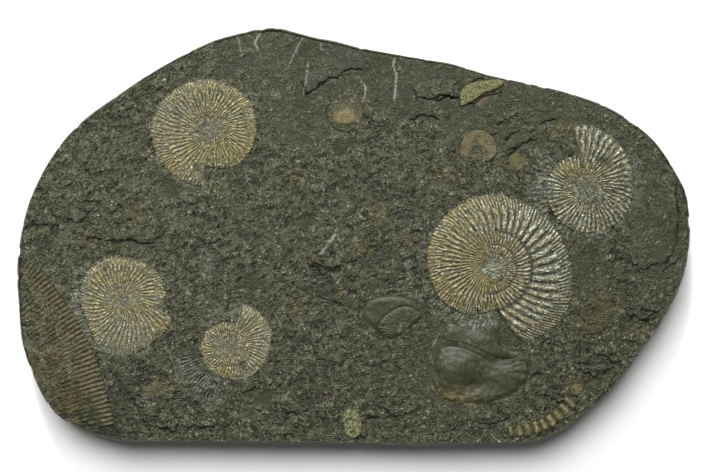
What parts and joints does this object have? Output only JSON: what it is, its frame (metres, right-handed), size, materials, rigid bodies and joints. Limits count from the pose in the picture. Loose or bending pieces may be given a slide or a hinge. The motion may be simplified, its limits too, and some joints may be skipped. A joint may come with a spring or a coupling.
{
  "type": "dactylioceras ammonite cluster",
  "caption": "Slab of dark shale lying on its back, with flattened, partly pyritised Dactylioceras ammonites, mussel valves and small shells in its face.",
  "frame": {"origin": "on the back of the slab, under the middle of its outline", "axes": "+X along the slab, towards the end with the largest ammonite; +Y from the straight sawn edge to the rounded edge; +Z out of the face with the fossils"},
  "size_m": [0.3, 0.186, 0.0231],
  "materials": {
    "dark_shale": "split bedding plane, dull grey-black with an olive tint",
    "silvery_pyritised_shell": "satin, silvery ribs with golden edges and dark furrows",
    "golden_pyritised_shell": "satin, golden brown",
    "brown_shell": "dull brown",
    "dark_mussel_shell": "smooth, slightly satin dark grey",
    "tan_shell": "dull tan",
    "pyrite_crust": "granular, yellow-green"
  },
  "bodies": {
    "root": {"shale_slab": "dark_shale", "ammonite_large_right": "silvery_pyritised_shell", "ammonite_upper_right": "silvery_pyritised_shell", "ammonite_upper_left": "golden_pyritised_shell", "ammonite_lower_left": "golden_pyritised_shell", "ammonite_lower_middle": "golden_pyritised_shell", "ammonite_small_right": "brown_shell", "whorl_left_edge": "brown_shell", "whorl_lower_right": "brown_shell", "mussel_lower": "dark_mussel_shell", "mussel_upper": "dark_mussel_shell", "ammonite_small_middle": "dark_mussel_shell", "ammonite_small_upper": "tan_shell", "shell_upper": "tan_shell", "pyrite_crust_lower": "pyrite_crust", "pyrite_crust_upper": "pyrite_crust"}
  },
  "joints": []
}
